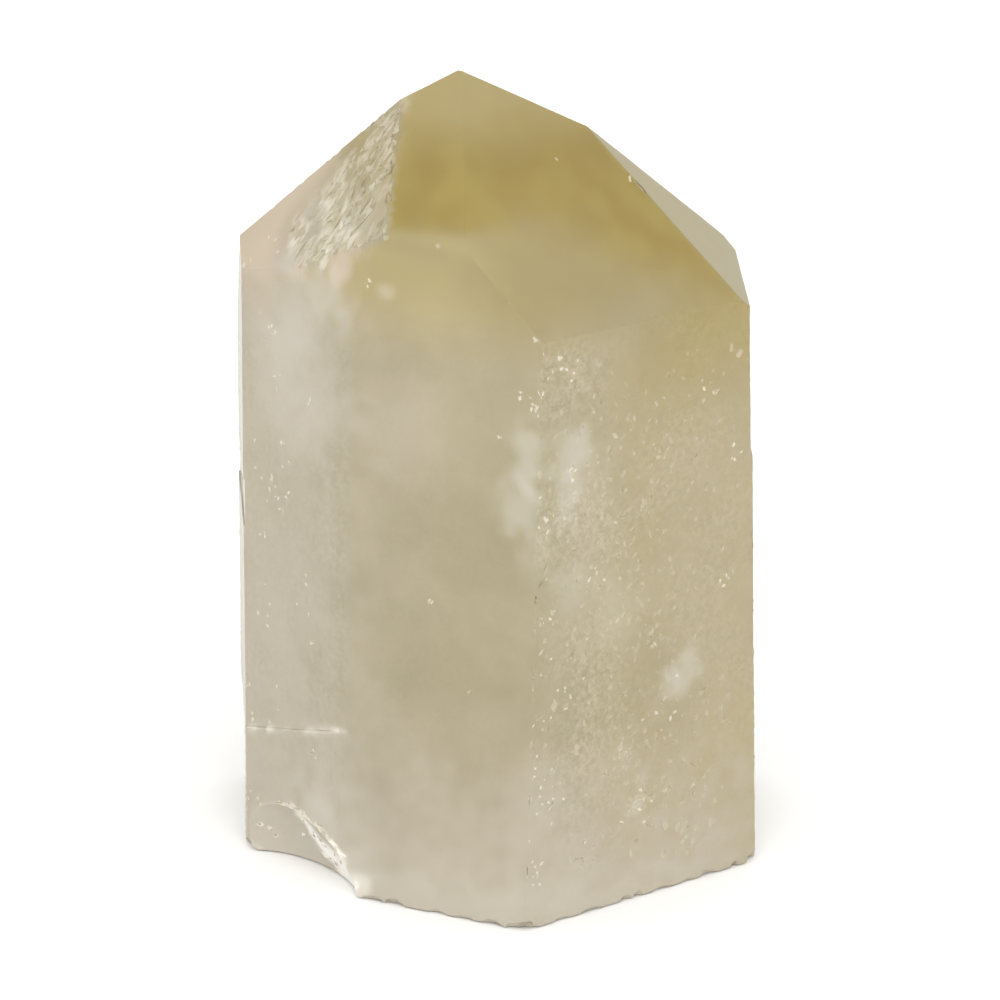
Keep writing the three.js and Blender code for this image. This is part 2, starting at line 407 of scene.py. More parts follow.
SPACING = {"right": 0.37, "back right": 0.46, "tip left": 0.33, "foot": 2.0}  # mm between points
PLAIN_SPACING = 0.56
SCATTER = 0.12          # how far a point may stray from its row, in spacings
SMALLEST_FLAT = 0.3     # mm²: smaller facets are the sides of pits and stay as they are
SLIVER = 1e-3           # mm²: a facet this small belongs to a flat area whichever way it looks
FLAT_WITHIN = 0.001     # mm: how far a point of a flat area may lie off its plane
SAME_WAY = 0.9999       # the cosine of the most that a grown face's area may turn from the face

edge1 = corners[triangles[:, 1]] - corners[triangles[:, 0]]
edge2 = corners[triangles[:, 2]] - corners[triangles[:, 0]]
crossed = np.cross(edge1, edge2)
doubled = np.linalg.norm(crossed, axis=1)
normals = crossed / np.maximum(doubled, 1e-12)[:, None]
areas = doubled / 2
flat_of = np.full(len(triangles), -1)
flats = []  # (normal, reach, name of the face or None)
for t in np.argsort(-areas):
    if flat_of[t] >= 0:
        continue
    if areas[t] < SMALLEST_FLAT:
        break
    out = normals[t]
    reach = float(out @ corners[triangles[t, 0]])
    near = np.abs(corners @ out - reach) < FLAT_WITHIN
    same = (flat_of < 0) & near[triangles].all(axis=1) & ((normals @ out > 0.9) | (areas < SLIVER))
    same[t] = True
    face = max(FACES, key=lambda name: float(out_of[name] @ out))
    named = face if out_of[face] @ out > SAME_WAY else None
    flat_of[same] = len(flats)
    flats.append((out, reach, named))

points = [tuple(p) for p in corners]
split_edges = {}


def edge_run(a, b, spacing):
    """The points along an edge from a to b, the same ones for both areas that share it."""
    key = (min(a, b), max(a, b))
    if key not in split_edges:
        start, end = np.array(points[key[0]]), np.array(points[key[1]])
        parts = max(1, round(float(np.linalg.norm(end - start)) / spacing))
        run = [key[0]]
        for i in range(1, parts):
            points.append(tuple(start + (end - start) * i / parts))
            run.append(len(points) - 1)
        split_edges[key] = run + [key[1]]
    run = split_edges[key]
    return run if key[0] == a else run[::-1]


# Borders are directed, with the area on their left as it is seen from outside.
owner = {}
for t, (a, b, c) in enumerate(triangles.tolist()):
    owner[a, b] = owner[b, c] = owner[c, a] = t

skin = []       # the triangles of the finished skin
skin_flat = []  # and the flat area that each lies in, or -1
for flat, (out, reach, named) in enumerate(flats):
    spacing = SPACING.get(named, PLAIN_SPACING)
    members = np.flatnonzero(flat_of == flat)
    border = []
    for t in members:
        a, b, c = triangles[t].tolist()
        for pair in ((a, b), (b, c), (c, a)):
            beyond = owner[pair[1], pair[0]]
            if flat_of[beyond] == flat:
                continue
            # only two flat areas share a split border: the sides of pits keep theirs whole
            if flat_of[beyond] < 0:
                border.append(pair)
                continue
            other = flats[flat_of[beyond]][2]
            run = edge_run(*pair, min(spacing, SPACING.get(other, PLAIN_SPACING)))
            border += list(zip(run, run[1:]))
    ids = sorted({i for pair in border for i in pair})
    level = np.array([0.0, 0.0, 1.0]) if abs(out[2]) < 0.9 else np.array([0.0, 1.0, 0.0])
    u_axis = np.cross(level, out)
    u_axis /= np.linalg.norm(u_axis)
    v_axis = np.cross(out, u_axis)
    placed = np.array([points[i] for i in ids])
    rim = np.stack([placed @ u_axis, placed @ v_axis], axis=1).astype(np.float32).astype(float)
    low, high = rim.min(axis=0), rim.max(axis=0)
    row_gap = spacing * math.sqrt(0.75)
    grid = []
    for row in range(int((high[1] - low[1]) / row_gap) + 1):
        v = low[1] + (row + 0.5) * row_gap
        for column in range(int((high[0] - low[0]) / spacing) + 2):
            u = low[0] + (column + 0.5 * (row % 2)) * spacing
            u += rng.uniform(-SCATTER, SCATTER) * spacing
            grid.append((u, v + rng.uniform(-SCATTER, SCATTER) * spacing))
    grid = np.array(grid) if grid else np.zeros((0, 2))
    # points too near the border would make slivers
    if len(grid):
        lookup = dict(zip(ids, rim))
        spots = []
        for a, b in border:
            spots += [lookup[a] * (1 - share) + lookup[b] * share for share in (0.0, 0.33, 0.67)]
        tree = KDTree(len(spots))
        for k, spot in enumerate(spots):
            tree.insert((spot[0], spot[1], 0), k)
        tree.balance()
        grid = np.array([g for g in grid if tree.find((g[0], g[1], 0))[2] > 0.5 * spacing]).reshape(-1, 2)
    flat_points = [Vector(p) for p in rim] + [Vector(g) for g in grid]
    index = {i: k for k, i in enumerate(ids)}
    edges = [(index[a], index[b]) for a, b in border]
    result = delaunay_2d_cdt(flat_points, edges, [], 0, 1e-7)
    made_points, made_edges, made_faces, made_from, edges_from, _ = result
    source = [origin[0] if origin else -1 - k for k, origin in enumerate(made_from)]
    walls = {frozenset((source[a], source[b])) for (a, b), origin in zip(made_edges, edges_from) if origin}
    by_edge = {}
    for k, face in enumerate(made_faces):
        a, b, c = [source[i] for i in face]
        by_edge[a, b] = by_edge[b, c] = by_edge[c, a] = k
    # the walls part the triangles into rooms, and a room belongs to the area if the border winds round it
    starts = rim[[a for a, b in edges]]
    ends = rim[[b for a, b in edges]]
    inside = []
    seen = set()
    for first in range(len(made_faces)):
        if first in seen:
            continue
        seen.add(first)
        room = [first]
        for k in room:
            a, b, c = [source[i] for i in made_faces[k]]
            for pair in ((a, b), (b, c), (c, a)):
                beyond = by_edge.get((pair[1], pair[0]))
                if beyond is not None and beyond not in seen and frozenset(pair) not in walls:
                    seen.add(beyond)
                    room.append(beyond)
        trios = [[np.array(made_points[i]) for i in made_faces[k]] for k in room]
        widest = max(trios, key=lambda trio: abs(float(np.cross(trio[1] - trio[0], trio[2] - trio[0]))))
        spot = sum(widest) / 3
        to_start = starts - spot
        to_end = ends - spot
        turned = to_start[:, 0] * to_end[:, 1] - to_start[:, 1] * to_end[:, 0]
        swing = np.arctan2(turned, (to_start * to_end).sum(axis=1))
        if swing.sum() > math.pi:
            inside += room
    id_of = dict(enumerate(ids))
    for k in inside:
        face = []
        for i in made_faces[k]:
            s = source[i]
            if s not in id_of:
                where = made_points[i]
                points.append(tuple(out * reach + u_axis * where[0] + v_axis * where[1]))
                id_of[s] = len(points) - 1
            face.append(id_of[s])
        skin.append(face)
        skin_flat.append(flat)

for t in np.flatnonzero(flat_of < 0):
    skin.append(triangles[t].tolist())
    skin_flat.append(-1)
points = np.array(points)

# ---------------------------------------------------------------- the quartz crystal: its relief
# Growth left the smooth faces in faint waves and the back ones in level steps, and etching left the grainy
# ones rough. The edges are worn, and the spall at the foot of the cheek is a smooth shell with ripples.

GROWTH_WAVE = (7.0, 0.07)     # mm across and deep
GROWTH_RIPPLE = (1.6, 0.012)
STRIATION = (0.9, 0.05)       # height of a step and its depth
ETCH = (1.1, 0.1)             # mm across and deep
ETCH_PATCH = (8.0, 3.1)       # mm across the patches where it is strong, and the shift of their noise
FLAKE_GROOVE = (1.7, 0.85, 0.13)  # long, wide and deep
WEAR = (0.4, 0.045)           # how far in from an edge the wear reaches, and how deep
SOFT_EDGE = (1.6, 0.15)       # the same for edges that never grew sharp
SOFT_EDGES = [("cheek", "front"), ("front", "tip front"), ("cheek", "step")]
SOFT_TURN = 0.42              # the sine of the turn at the first of them
FARTHEST = 0.35               # mm: no point moves farther than this


def ramp(value, low, high):
    """Rises smoothly from 0 at the low value to 1 at the high one."""
    share = np.clip((value - low) / (high - low), 0, 1)
    return share * share * (3 - 2 * share)


def noise_at(where, size, shift=0.0):
    """Smooth noise between -1 and 1 for each place, with lumps of a size in millimetres. Each use of it
    has a shift of its own, so that no two patterns are alike."""
    scaled = where / np.asarray(size, dtype=float) + shift
    return np.array([noise.noise(Vector(p)) for p in scaled])


flats_at = [[] for _ in points]
for face, flat in zip(skin, skin_flat):
    for i in face:
        if flat not in flats_at[i]:
            flats_at[i].append(flat)


def in_flake_band(where):
    """How far each place is in the band of flakes, 0 to 1, with a ragged border."""
    left_edge, right_edge = band_edges(where[:, 2])
    right = (where - GROWTH_AXIS) @ across("tip left") + 1.6 * noise_at(where, 2.6, 51.0)
    below = reach_of["tip left"] - where @ out_of["tip left"]
    inside = ramp(right, left_edge - 1, left_edge + 1) * (1 - ramp(right, right_edge - 1, right_edge + 1))
    return inside * (1 - ramp(below, 0.6, 1.0)) * ramp(where[:, 2], 64.0, 67.5)


def relief(name, out, where):
    """How deep the surface lies below the plane of a flat face, for points on it."""
    if name == "foot":
        return np.zeros(len(where))
    depth = GROWTH_WAVE[1] * (0.5 + 0.5 * noise_at(where, GROWTH_WAVE[0]))
    depth += GROWTH_RIPPLE[1] * (0.5 + 0.5 * noise_at(where, GROWTH_RIPPLE[0]))
    if name in ("right", "back right"):
        patch = ramp(noise_at(where, *ETCH_PATCH), -0.5, 0.4)
        sugar = np.abs(noise_at(where, ETCH[0])) + 0.6 * np.abs(noise_at(where, 0.55 * ETCH[0], 9.0))
        depth = depth + ETCH[1] * (0.35 + 0.65 * patch) * sugar
    if name in ("back left", "back right", "far right", "left"):
        steps = noise_at(where, (9.0, 9.0, STRIATION[0]), 5.0)
        depth = depth + STRIATION[1] * (0.5 + 0.5 * steps)
    if name == "tip left":
        long, wide, deep = FLAKE_GROOVE
        local = np.stack([where @ flake_along / long, where @ flake_side / wide, where @ out], axis=1)
        grooves = np.abs(noise_at(local, 1.0)) + 0.5 * np.abs(noise_at(local, 0.5, 4.0))
        depth = depth + deep * grooves * in_flake_band(where)
    slack = np.min([reach_of[f] - where @ out_of[f] for f in FACES if f != name], axis=0)
    worn = WEAR[1] * (0.55 + 0.45 * noise_at(where, 1.9, 7.0))
    worn *= np.exp(-(np.maximum(slack, 0) / WEAR[0]) ** 2)
    for pair in SOFT_EDGES:
        if name in pair:
            other = pair[1 - pair.index(name)]
            turned = math.sqrt(1 - float(out_of[other] @ out_of[name]) ** 2)
            away = (reach_of[other] - where @ out_of[other]) / turned
            worn = worn + SOFT_EDGE[1] * np.clip(1 - away / SOFT_EDGE[0], 0, 1) ** 2 * turned / SOFT_TURN
    return depth + worn


moved = points.copy()
depths = [dict() for _ in points]
for flat, (out, reach, named) in enumerate(flats):
    if named is None:
        continue
    members = sorted({i for face, f in zip(skin, skin_flat) if f == flat for i in face})
    for i, depth in zip(members, relief(named, out, points[members])):
        depths[i][flat] = float(depth)
for i, parts in enumerate(depths):
    if not parts:
        continue
    outs = np.array([flats[flat][0] for flat in parts][:3])
    wanted = -np.array(list(parts.values())[:3])
    if len(outs) == 1:
        moved[i] += outs[0] * wanted[0]
    else:
        shift = np.linalg.lstsq(outs, wanted, rcond=0.05)[0]
        length = float(np.linalg.norm(shift))
        moved[i] += shift * min(1.0, FARTHEST / max(length, 1e-9))

# The ledges of the back faces aren't ruled lines: they rise and dip as they cross, behind the crystal and
# between its foot and its tip.
LEDGE_WANDER = (8.0, 1.1)  # mm across, and mm up and down
stretch = np.array([1, 1, 0.35])
behind = ramp(points[:, 1], -12, 0) * ramp(points[:, 2], 2, 7) * (1 - ramp(points[:, 2], 45, 51))
moved[:, 2] += LEDGE_WANDER[1] * behind * noise_at(points * stretch, LEDGE_WANDER[0], 61.0)

# The spall: the same shell as the solid's, made smooth, with ripples that spread from where it was struck.
RIPPLE = (1.5, 0.05)         # mm from crest to crest, and deep
RIPPLE_FROM = on_face("cheek", -4, 0)
SHELL_SKIN = (0.93, 1.004)   # where its facets lie, in shares of the half sizes
SHELL_HALF = 6               # mm: its half size, near enough for ripples so low
local = (points - spall_centre) @ spall_frame.T / SPALL_AXES
from_centre = np.linalg.norm(local, axis=1)
on_shell = (from_centre > SHELL_SKIN[0]) & (from_centre < SHELL_SKIN[1])
for i in np.flatnonzero(on_shell):
    if any(flat >= 0 and flats[flat][2] in ("left", "front", "tip left") for flat in flats_at[i]):
        continue
    away = float(np.linalg.norm(points[i] - RIPPLE_FROM))
    edge = min(reach_of["cheek"] - points[i] @ out_of["cheek"], points[i][2])
    wave = RIPPLE[1] * math.sin(away / RIPPLE[0] * 2 * math.pi) * float(ramp(edge, 0, 0.8))
    scale = (1 + wave / SHELL_HALF) / from_centre[i]
    moved[i] = spall_centre + (points[i] - spall_centre) * scale
moved[:, 2] = np.maximum(moved[:, 2], 0)

# The sides of pits are broken quartz: how strongly it shows, and how pale its cracks make it, from the
# clearest to the whitest, 0 clear to 1 white. The near white of the nicks is also painted glints.
BROKEN = {
    "flake": (0.7, 0.15, 0.85),
    "grain": (0.5, 0.3, 0.7),
    "bright grain": (0.75, 0.5, 0.9),
    # nicks: near white, partly broken quartz and partly painted glints
    "nick": (1.0, 0.85, 1.0),
    "splinter": (0.95, 0.95, 1.0),
    "coarse": (0.55, 0.15, 0.75),
    "chip": (0.5, 0.4, 0.9),
    "crack": (0.7, 0.5, 1.0),
}
BRIGHT_GRAIN_SHARE = 0.04
CRACK_RIGHT = (-11.9, 3.1)   # where the old crack runs across the cheek
CRACK_HEIGHT = (13.5, 18.1)
CRACK_SIDES = (0.7, 0.5)     # mm from its line, and deep, that its sides reach


def off_crack(where):
    """How far each place lies above the line of the crack, and how far below the plane of the cheek."""
    line = np.interp((where - GROWTH_AXIS) @ across("cheek"), CRACK_RIGHT, CRACK_HEIGHT)
    return where[:, 2] - line, reach_of["cheek"] - where @ out_of["cheek"]


hollow_tree = KDTree(len(hollows))
for k, hollow in enumerate(hollows):
    hollow_tree.insert(hollow[0], k)
hollow_tree.balance()

# Each pit has a paleness of its own. These steps from pit to pit spread the pale and the bright ones evenly.
PALE_STEP = 0.414
BRIGHT_STEP = 0.618
CRACK_PATCH = 1.3  # mm: the crack shows in patches
pit = np.zeros(len(skin))
pale_break_and_glint = np.zeros(len(skin))
for k, (face, flat) in enumerate(zip(skin, skin_flat)):
    middle = points[face].mean(axis=0)
    _, nearest, away = hollow_tree.find(middle)
    above_crack, below_cheek = off_crack(middle[None])
    plain = flat >= 0 and flats[flat][2] is not None
    if not plain and abs(above_crack[0]) < CRACK_SIDES[0] and below_cheek[0] < CRACK_SIDES[1]:
        kind = "crack"
    elif flat >= 0:
        continue
    else:
        kind = hollows[nearest][3] if away < hollows[nearest][1] else "chip"
        if kind == "chip" and in_flake_band(middle[None])[0] > 0.5:
            kind = "flake"
        if kind == "grain" and nearest * BRIGHT_STEP % 1 < BRIGHT_GRAIN_SHARE:
            kind = "bright grain"
    pit[k], low, high = BROKEN[kind]
    if kind == "crack":
        pit[k] *= 0.6 + 0.8 * noise.noise(Vector(middle / CRACK_PATCH))
    pale_break_and_glint[k] = low + (high - low) * (0.7 * (nearest * PALE_STEP % 1) + 0.3 * rng.random())

# The finished skin.
form = bmesh.new()
form_points = [form.verts.new(tuple(p * MM)) for p in moved]
pit_layer = form.faces.layers.float.new("pit")
pale_break_and_glint_layer = form.faces.layers.float.new("pale_break_and_glint")
for k, face in enumerate(skin):
    facet = form.faces.new([form_points[i] for i in face])
    facet[pit_layer] = pit[k]
    facet[pale_break_and_glint_layer] = pale_break_and_glint[k]
SEAM = 0.02  # mm: any hairline gap left between two areas is narrower than this
seam_points = {v for e in form.edges if len(e.link_faces) != 2 for v in e.verts}
bmesh.ops.remove_doubles(form, verts=list(seam_points), dist=SEAM * MM)
bmesh.ops.delete(form, geom=[v for v in form.verts if not v.link_faces], context="VERTS")
for _ in range(3):
    bmesh.ops.holes_fill(form, edges=[e for e in form.edges if e.is_boundary], sides=0)
bmesh.ops.triangulate(form, faces=[f for f in form.faces if len(f.verts) > 3])
strays = [f for f in form.faces if all(e.is_boundary for e in f.edges)]
bmesh.ops.delete(form, geom=strays, context="FACES")
mesh = bpy.data.meshes.new("quartz_crystal")
form.to_mesh(mesh)
form.free()
crystal = bpy.data.objects.new("quartz_crystal", mesh)
bpy.context.scene.collection.objects.link(crystal)
SHARP_FROM = 26  # degrees: edges that turn more than this stay sharp
mesh.shade_smooth()
mesh.set_sharp_from_angle(angle=math.radians(SHARP_FROM))
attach(crystal, "root")
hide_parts("quartz_point")

# ---------------------------------------------------------------- the quartz crystal: what clouds it
# Milk is fine bubbles in the quartz, veils are healed cracks, and gold is the citrine colour of the tip.
# They are kept on the mesh as soft clouds: centre, half sizes in millimetres, thickness and softness.

where = np.array([v.co for v in mesh.vertices], dtype=float) / MM
wobble = noise_at(where, 6.0, 11.0)
ruffle = noise_at(where, 1.8, 21.0)


def gather(clouds, rough):
    """How thick the clouds lie at each point of the mesh: centre, half size, thickness, softness."""
    clear = np.ones(len(where))
    for centre, half, thickness, soft in clouds:
        away = np.linalg.norm((where - np.array(centre)) / np.array(half), axis=1)
        away = away + rough * (0.6 * wobble + 0.6 * ruffle)
        clear *= 1 - thickness * (1 - ramp(away, 1 - soft, 1 + soft))
    return 1 - clear


def nearness(face, within=0.5):
    """1 for the points that lie on a face, and 0 for those farther below it than so many millimetres."""
    return 1 - ramp(reach_of[face] - where @ out_of[face], within * 0.5, within)


# Milk whitens the left side, the foot and some of the back.
MILK = [
    ((-20, -12.5, 57), (8, 8, 10), 0.6, 0.5),
    ((-24, -10, 40), (12, 12, 28), 0.5, 0.6),
    ((-24, -10, 12), (10, 12, 20), 0.45, 0.6),
    ((-21.5, -10.5, 64), (6, 6, 6), 0.6, 0.6),
    ((-19.2, -13, 62.5), (3, 3, 4.5), 0.4, 0.6),
    ((22, -14, 32), (8, 9, 30), 0.15, 0.6),
    ((-9, -21.1, 52.2), (4, 4, 5.5), 0.3, 0.6),
    ((-16.1, -19.2, 7.2), (5, 5, 7), 0.4, 0.6),
    ((9.7, -24, 43.6), (3.5, 3.5, 7), 0.2, 0.6),
    ((4.9, -27.5, 14.8), (3, 3, 5), 0.4, 0.6),
    ((0, -20, 0), (40, 30, 14), 0.78, 0.7),
    ((0, 10, 8), (26, 22, 14), 0.4, 0.6),
    ((-16, 20, 40), (10, 10, 18), 0.35, 0.6),
    ((14, 22, 52), (8, 8, 10), 0.35, 0.6),
    ((24, 6, 26), (8, 10, 14), 0.3, 0.6),
]
# Veils make the white patch beside the upright edge, a small one low on the right, and fainter ones.
VEILS = [
    ((3.2, -27, 51.2), (2.0, 2.0, 3.2), 0.44, 0.6),
    ((2.7, -26.8, 46.2), (2.1, 2.1, 3.2), 0.42, 0.6),
    ((7.9, -25.3, 51), (1.8, 1.8, 3.2), 0.46, 0.6),
    ((7.4, -25.6, 46.6), (1.5, 1.5, 2.4), 0.38, 0.6),
    ((4.1, -27.5, 41.6), (2.0, 2.0, 3.0), 0.22, 0.8),
    ((20.3, -16.4, 24.6), (1.5, 1.5, 2.4), 0.44, 0.5),
    ((18.2, -17.8, 23.6), (1.2, 1.2, 1.7), 0.36, 0.5),
    ((-10.9, -19.7, 66.6), (0.8, 0.8, 0.7), 0.36, 0.7),
    ((15.2, -20, 10.4), (0.9, 0.9, 2.6), 0.4, 0.6),
    ((12.6, -21.5, 32), (2.4, 2.4, 3.4), 0.2, 0.8),
    ((7.5, -25.4, 36.5), (2.0, 2.0, 2.6), 0.25, 0.8),
    # painted light: pales the low end of the spall, whose hollow lies in shade
    ((-18.5, -16, 2), (5.5, 5.5, 7), 0.35, 0.6),
    ((0, -22, 0), (26, 12, 4), 0.3, 0.7),
    ((-21.5, -10.8, 58), (3.2, 3.2, 8), 0.25, 0.8),
    ((-17.5, -14.5, 64.5), (3.0, 3.0, 3.0), 0.4, 0.7),
]
# Cream stains where the flakes end, at the left of the tip.
CREAM = [
    ((-16, -16.3, 68.2), (1.6, 1.9, 2.2), 1.0, 0.35),
    ((-19.5, -11.5, 66.5), (1.4, 1.6, 1.2), 0.6, 0.6),
    ((-14.2, -17.2, 71), (0.9, 1.1, 1.3), 0.6, 0.4),
]
# Smoke is the clearest quartz, which looks darker than the rest. One cloud is painted shade instead: it
# darkens the right half of the front, where the lamp lights it most.
SMOKE_AND_PAINTED_SHADE = [
    ((-3, -24.5, 30), (8, 6, 13), 0.2, 0.7),
    # painted shade: darkens the right half of the front, where the lamp lights it most
    ((1, -26, 48), (5.5, 5, 15), 0.42, 0.7),
    ((-1, -24.5, 61), (5, 4, 6), 0.3, 0.7),
    ((-6.4, -21.3, 72.2), (7, 3, 1.6), 0.35, 0.6),
    ((4, -18, 70), (7, 8, 4), 0.3, 0.6),
    ((4, -26, 26), (3.5, 5, 10), 0.35, 0.7),
    ((10, -20, 64), (8, 8, 4), 0.35, 0.7),
    ((17, -18, 22), (5, 5, 7), 0.3, 0.7),
    ((20, 10, 45), (8, 10, 12), 0.35, 0.7),
    ((-12, 22, 24), (8, 8, 10), 0.35, 0.7),
]

# Gold fills the tip above a soft edge, fades towards its very end, and runs down the right side.
height = where[:, 2]
tip_left = nearness("tip left")
on_tip = ramp(height, 58, 69)
to_right = ramp(where[:, 0], -6, 3)
gold_edge = 73 - 0.4 * np.maximum(where[:, 0] - 3, 0) + 0.7 * wobble
gold_soft = 0.8 + 1.6 * ramp(where[:, 0], -4, 4)
gold = 0.55 * ramp(height, 60, 68) * to_right
gold = np.maximum(gold, 0.68 * ramp(height, 47, 62) * ramp(where[:, 0], 9, 22))
gold += (1 - gold) * ramp(height, gold_edge - gold_soft, gold_edge + gold_soft)
gold *= 1 - 0.75 * ramp(height + wobble, 77.5, 84)
gold *= 1 - 0.85 * tip_left * (1 - 0.6 * ramp(height, 73, 79))
straw = on_tip * (1 - tip_left) * (1 - 0.55 * to_right * (1 - ramp(height, 76, 80)))
straw_right = (0.8 - 0.35 * ramp(height, 12, 26)) * nearness("right") * ramp(where[:, 0], 7, 17)

# The left face of the tip is blushed and stained cream where it isn't flaky.
flaky = in_flake_band(where) * (1 - 0.5 * ramp(height, 72, 80))
flaky *= 0.2 + 0.8 * ramp(noise_at(where, 3.0, 71.0) + 0.3 * ruffle, -0.3, 0.15)
right_on_tip = (where - GROWTH_AXIS) @ across("tip left")
blush = ramp(height + 2 * wobble, 58, 66) * (1 - ramp(right_on_tip + 1.5 * wobble, -7, -1))
blush *= 1 - 0.6 * ramp(where[:, 1], -6, 6)
cream = gather(CREAM, 0.5)
blush = np.maximum(blush, cream)
flaky *= 1 - 0.9 * cream

# The bruise follows the rim of the spall, and its run down through the shell.
local = (where - spall_centre) @ spall_frame.T / SPALL_AXES
past_shell = np.linalg.norm(local, axis=1) - 1
on_cheek = nearness("cheek", 0.6)
spalled = 1 - ramp(np.abs(past_shell), 0.01, 0.03)
band = 0.05 + 0.16 * ramp(local[:, 0], 0.0, 0.7)
bruise = (1 - ramp(np.abs(past_shell), 0.2 * band, 0.7 * band)) * on_cheek * (1 - spalled)
bruise *= ramp(local[:, 0], -0.75, -0.5) * ramp(local[:, 1] + 0.3 * local[:, 2], 0.1, 0.5)
bruise *= ramp(ruffle + ramp(local[:, 0], -0.2, 0.5), -0.2, 0.3)
flat_local = local[:, :2] * SPALL_AXES[:2]
from_run = np.full(len(where), np.inf)
for start, end in zip(BRUISE_RUN * SPALL_AXES[:2], BRUISE_RUN[1:] * SPALL_AXES[:2]):
    run = end - start
    share = np.clip((flat_local - start) @ run / (run @ run), 0, 1)
    from_run = np.minimum(from_run, np.linalg.norm(flat_local - start - share[:, None] * run, axis=1))
run_width = 0.8 + 1.1 * ramp(local[:, 0], -0.2, 0.4)
struck = 1 - ramp(from_run + 0.5 * ruffle, 0.35 * run_width, run_width)
struck *= np.maximum(spalled, 0.45 * nearness("front") * (1 - ramp(height, 2.5, 4)))
bruise = np.maximum(bruise, struck)
crack = np.exp(-(off_crack(where)[0] / 0.45) ** 2) * on_cheek * ramp(ruffle, -0.3, 0.2)

# Sugar lies on the etched faces, and crumbs there and wherever the skin is broken or dull.
etched = np.maximum(nearness("right"), nearness("back right"))
sugary = etched * (0.25 + 0.75 * ramp(noise_at(where, *ETCH_PATCH), -0.5, 0.4))
crumbly = np.maximum.reduce([sugary, 0.55 * on_cheek, 0.65 * blush, 0.9 * spalled, 0.12 * nearness("front")])

# The quartz itself is uneven, and the gold runs in streaks along the axis that it grew on.
GOLD_PATCH = (2.6, 2.6, 9.0)  # mm
broad = 0.55 * noise_at(where, 9.0, 91.0) + 0.3 * noise_at(where, 4.5, 92.0)
broad += 0.17 * noise_at(where, 2.25, 93.0)
small = 0.65 * noise_at(where, 2.4, 94.0) + 0.35 * noise_at(where, 1.2, 95.0)
grown = noise_at(where, GOLD_PATCH, 96.0)
deeper = np.exp(-((where[:, 0] - 6) / 5) ** 2)

# How much of each there is at every point of the mesh, from 0 to 1.
amounts = {
    "patchy": 0.72 * ramp(broad, -0.3, 0.3) + 0.28 * np.clip((small + 0.1) / 0.6, 0, 1),
    "streaked": np.clip(ramp(grown, -0.5, 0.5) - 0.6 * deeper, 0, 1),
    "straw": np.maximum(straw, straw_right),
    "gold": gold,
    # over the spalled shell, milk and veil are painted light: they pale the shell so that the shade in its
    # hollow doesn't show
    "milk_and_painted_light": np.maximum(gather(MILK, 0.4), 0.95 * spalled) * (1 - 0.75 * on_tip * (1 - tip_left)),
    "veil_and_painted_light": np.maximum(gather(VEILS, 1.1), 0.35 * spalled),
    # smoke: the darker clear quartz, with painted shade on the right half of the front
    "smoke_and_painted_shade": gather(SMOKE_AND_PAINTED_SHADE, 0.4),
    "blush": blush,
    "flaky": flaky,
    "sugary": sugary,
    "crumbly": crumbly * (0.55 + 0.45 * ramp(noise_at(where, 3.0, 81.0), -0.4, 0.3)),
    "bruise": np.clip(np.maximum(bruise, 0.55 * crack), 0, 1),
    "matt": nearness("tip far right", 0.2),
}
for name, values in amounts.items():
    layer = mesh.attributes.new(name, "FLOAT", "POINT")
    layer.data.foreach_set("value", values.astype(np.float32))

# ---------------------------------------------------------------- the quartz crystal: its material
# Milky quartz: glass-clear silica full of bubbles too small to see, so that it glows like frosted glass
# under a natural gloss. Iron gives the tip its gold.


def linear(colour):
    """The linear colour of an sRGB one given in hex."""
    channels = [int(colour[i:i + 2], 16) / 255 for i in (1, 3, 5)]
    return [c / 12.92 if c <= 0.04045 else ((c + 0.055) / 1.055) ** 2.4 for c in channels] + [1.0]


def add_node(tree, kind, inputs=None, **settings):
    """Adds a node, with its settings, and the value or the link of each input that is named."""
    made = tree.nodes.new(kind)
    for name, value in settings.items():
        setattr(made, name, value)
    for socket, value in (inputs or {}).items():
        if isinstance(value, bpy.types.NodeSocket):
            tree.links.new(value, made.inputs[socket])
        else:
            made.inputs[socket].default_value = value
    return made


milky_quartz = bpy.data.materials.new("milky quartz")
milky_quartz.use_nodes = True
tree = milky_quartz.node_tree
tree.nodes.clear()
place = add_node(tree, "ShaderNodeTexCoord").outputs["Object"]
in_mm = add_node(tree, "ShaderNodeVectorMath", {0: place, "Scale": 1 / MM}, operation="SCALE").outputs[0]

# Where each thing lies, as it was kept on the mesh.
lies = {}
for layer in mesh.attributes:
    if layer.data_type == "FLOAT":
        lies[layer.name] = add_node(tree, "ShaderNodeAttribute", attribute_name=layer.name).outputs["Fac"]

# Uneven patches in the quartz itself, large and then small, and darker and paler streaks in its gold.
body = add_node(tree, "ShaderNodeMix", {
    0: lies["patchy"], 6: linear("#AFA585"), 7: linear("#C0B699")}, data_type="RGBA").outputs[2]
golden = add_node(tree, "ShaderNodeMix", {
    0: lies["streaked"], 6: linear("#A58C2D"), 7: linear("#AE9839")}, data_type="RGBA").outputs[2]

# The flakes and the gaps between them, drawn out the way that the flakes lie: how long, wide and deep in mm.
FLAKE_STREAK = (2.2, 0.9, 0.9)
along_flakes = add_node(tree, "ShaderNodeCombineXYZ")
for axis, (way, size) in enumerate(zip((flake_along, flake_side, out_of["tip left"]), FLAKE_STREAK)):
    part = add_node(tree, "ShaderNodeVectorMath", {0: in_mm, 1: way / size}, operation="DOT_PRODUCT")
    tree.links.new(part.outputs["Value"], along_flakes.inputs[axis])
flake_tone = add_node(tree, "ShaderNodeTexNoise", {
    "Vector": along_flakes.outputs[0], "Scale": 1, "Detail": 2, "Roughness": 0.65}).outputs["Fac"]
flake_share = add_node(tree, "ShaderNodeMapRange", {
    "Value": flake_tone, "From Min": 0.38, "From Max": 0.62}, interpolation_type="SMOOTHSTEP").outputs[0]
flaky_colour = add_node(tree, "ShaderNodeMix", {
    0: flake_share, 6: linear("#ACA180"), 7: linear("#DDD5C2")}, data_type="RGBA").outputs[2]
